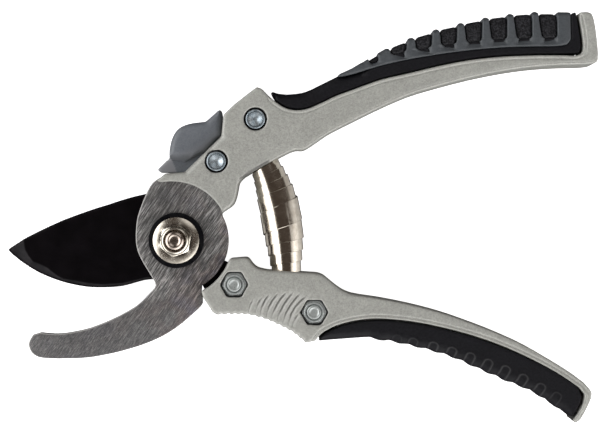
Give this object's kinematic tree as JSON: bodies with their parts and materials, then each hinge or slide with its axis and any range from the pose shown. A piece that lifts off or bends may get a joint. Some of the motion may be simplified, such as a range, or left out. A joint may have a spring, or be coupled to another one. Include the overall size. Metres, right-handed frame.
{
  "type": "pruning shears",
  "caption": "Bypass pruning shears with a curved hook, a coated blade, a volute spring, a thumb catch and two cast handles with inlaid grips.",
  "frame": {"origin": "the pivot's axis, where it meets the flat face of the pivot bolt's head, level with the backs of the handles", "axes": "+X from the pivot towards the ends of the handles, +Y towards the upper handle, +Z towards the front, where the pivot nut is"},
  "size_m": [0.2028, 0.1404, 0.0184],
  "materials": {
    "handle_paint": "fine metallic silver-grey paint, satin",
    "hook_steel": "ground steel with coarse slanted brushing",
    "blade_coating": "black non-stick coating, satin",
    "grip_rubber": "soft black rubber, matt",
    "grip_plastic": "grey moulded plastic, satin",
    "catch_plastic": "blue-grey moulded plastic, satin",
    "zinc_plate": "bluish zinc plate",
    "nickel_plate": "warm nickel plate",
    "washer_black": "black oxide",
    "spring_nickel": "bright nickel plate"
  },
  "bodies": {
    "hook_side": {"upper_handle": "handle_paint", "hook": "hook_steel", "upper_grip": "grip_rubber", "upper_grip_frame": "grip_plastic", "hook_screw_front": "zinc_plate", "hook_screw_rear": "zinc_plate", "hook_nut_front": "zinc_plate", "hook_nut_rear": "zinc_plate", "catch_bush": "zinc_plate", "pivot_bolt": "nickel_plate", "pivot_nut": "nickel_plate", "pivot_washer": "washer_black", "thrust_washer": "nickel_plate", "spring": "spring_nickel"},
    "blade_side": {"lower_handle": "handle_paint", "blade": "blade_coating", "lower_grip": "grip_rubber", "blade_screw_front": "zinc_plate", "blade_screw_rear": "zinc_plate", "blade_nut_front": "zinc_plate", "blade_nut_rear": "zinc_plate"},
    "catch_lever": {"catch": "catch_plastic"}
  },
  "joints": [
    {"name": "cut", "type": "hinge", "parent": "hook_side", "child": "blade_side", "pos_m": [0, 0, 0.0055], "axis": [0, 0, 1], "range_deg": [0, 33], "stiffness_Nm_per_rad": 2, "springref_deg": -8.59, "deforming": ["spring"]},
    {"name": "catch_turn", "type": "hinge", "parent": "hook_side", "child": "catch_lever", "pos_m": [0.0139, 0.027, 0.0055], "axis": [0, 0, 1], "range_deg": [0, 14]}
  ]
}
